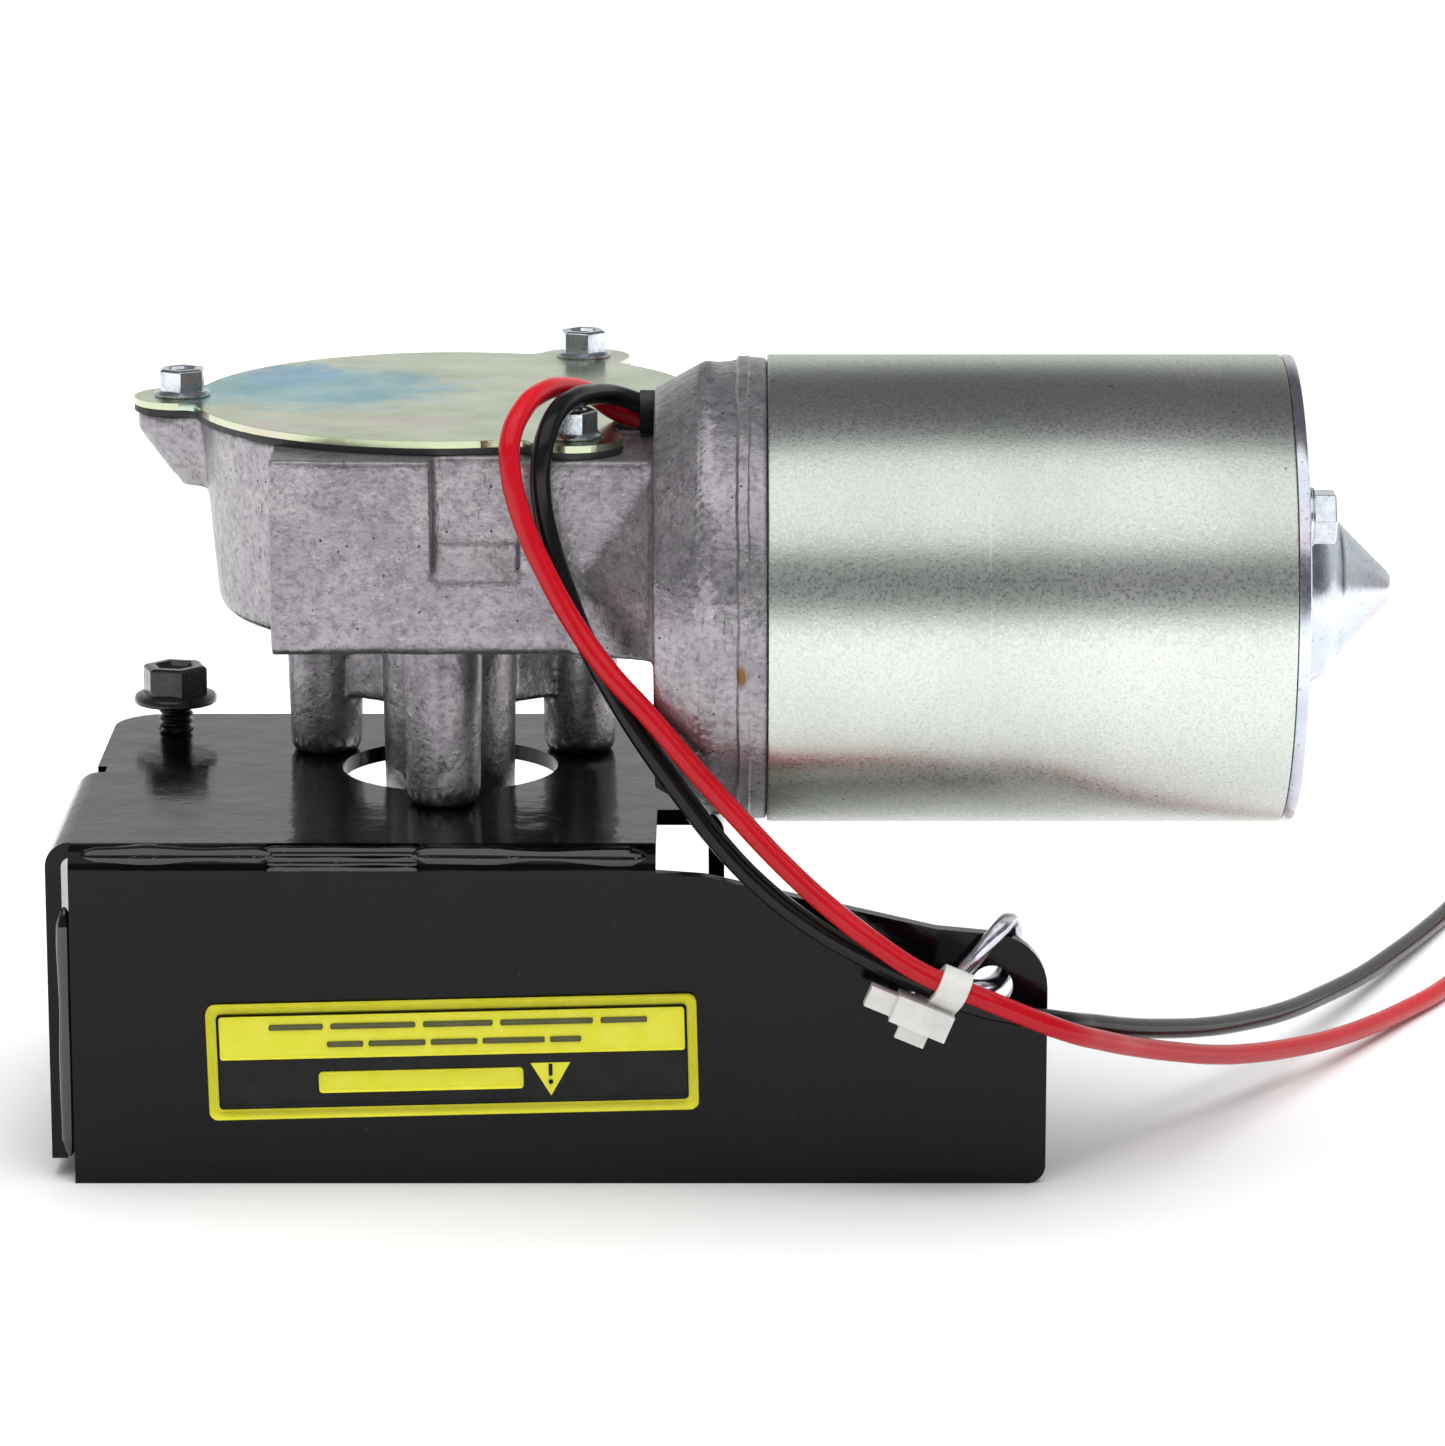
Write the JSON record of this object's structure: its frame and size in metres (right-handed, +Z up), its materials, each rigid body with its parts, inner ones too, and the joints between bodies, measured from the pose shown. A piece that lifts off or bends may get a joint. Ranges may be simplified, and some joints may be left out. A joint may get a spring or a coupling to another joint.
{
  "type": "garage door opener drive unit",
  "caption": "Worm gear motor with a cast gearbox and motor bell, standing on a bent black sprocket bracket, with a chain sprocket below and two leads.",
  "frame": {"origin": "on the floor under the middle of the unit's bounding box, leads and cable tie left out", "axes": "+X along the motor from gearbox to end cone, +Y from the labelled front flange to the back, +Z up"},
  "size_m": [0.2754, 0.2383, 0.131],
  "materials": {
    "black_paint": "thick gloss black paint over bent steel sheet",
    "black_screw": "black oxide on steel",
    "zinc": "bright zinc plate on steel",
    "casting": "as cast, mottled grey with trimmed flash",
    "gasket_rubber": "black moulded rubber",
    "chromate": "yellow-green iridescent chromate on zinc plate",
    "motor_zinc": "grainy zinc plate on a rolled steel tube",
    "end_zinc": "blue-white zinc plate",
    "ferrite": "dark sintered ferrite",
    "ground_steel": "ground bright steel",
    "core_steel": "stacked steel laminations",
    "copper_wire": "enamelled copper wire",
    "copper": "copper segments",
    "bronze": "oil-filled sintered bronze",
    "phenolic": "brown phenolic laminate",
    "carbon": "pressed carbon",
    "worm_steel": "hardened steel with grease film",
    "wheel_nylon": "natural moulded nylon",
    "sprocket_steel": "dark sintered steel",
    "label": "printed vinyl, yellow with a black panel and plain grey bars",
    "tie_nylon": "natural translucent nylon",
    "red_insulation": "red PVC insulation",
    "black_insulation": "black PVC insulation",
    "connector_nylon": "natural moulded nylon",
    "tin": "tin plated brass"
  },
  "bodies": {
    "housing": {"bracket": "black_paint", "bracket_flange_screw": "black_screw", "leg_screws": "zinc", "gear_case": "casting", "cover_gasket": "gasket_rubber", "cover_plate": "chromate", "cover_screws": "zinc", "motor_tube": "motor_zinc", "end_plate": "end_zinc", "through_bolts": "zinc", "grommet": "gasket_rubber", "magnets": "ferrite", "front_bearing": "ground_steel", "rear_bush": "bronze", "brush_card": "phenolic", "brushes": "carbon", "brush_springs": "ground_steel", "thrust_ball": "ground_steel", "thrust_pad": "phenolic", "upper_bush": "bronze", "lower_bush": "bronze", "thrust_washer": "ground_steel", "caution_label": "label", "hook_link": "end_zinc", "cable_tie": "tie_nylon", "red_lead": "red_insulation", "black_lead": "black_insulation", "lead_connector": "connector_nylon", "connector_terminals": "tin"},
    "armature": {"armature_shaft": "ground_steel", "armature_core": "core_steel", "windings": "copper_wire", "commutator": "copper", "worm": "worm_steel"},
    "output": {"worm_wheel": "wheel_nylon", "wheel_hub": "worm_steel", "output_shaft": "ground_steel", "sprocket": "sprocket_steel", "retaining_ring": "black_screw"}
  },
  "joints": [
    {"name": "armature_spin", "type": "hinge", "parent": "housing", "child": "armature", "pos_m": [0, -0.01905, 0.093], "axis": [1, 0, 0], "continuous": true},
    {"name": "output_spin", "type": "hinge", "parent": "housing", "child": "output", "pos_m": [-0.046, 0.01095, 0.093], "axis": [0, 0, 1], "continuous": true}
  ],
  "couplings": [
    {"joint": "output_spin", "follows": "armature_spin", "ratio": -0.025}
  ]
}
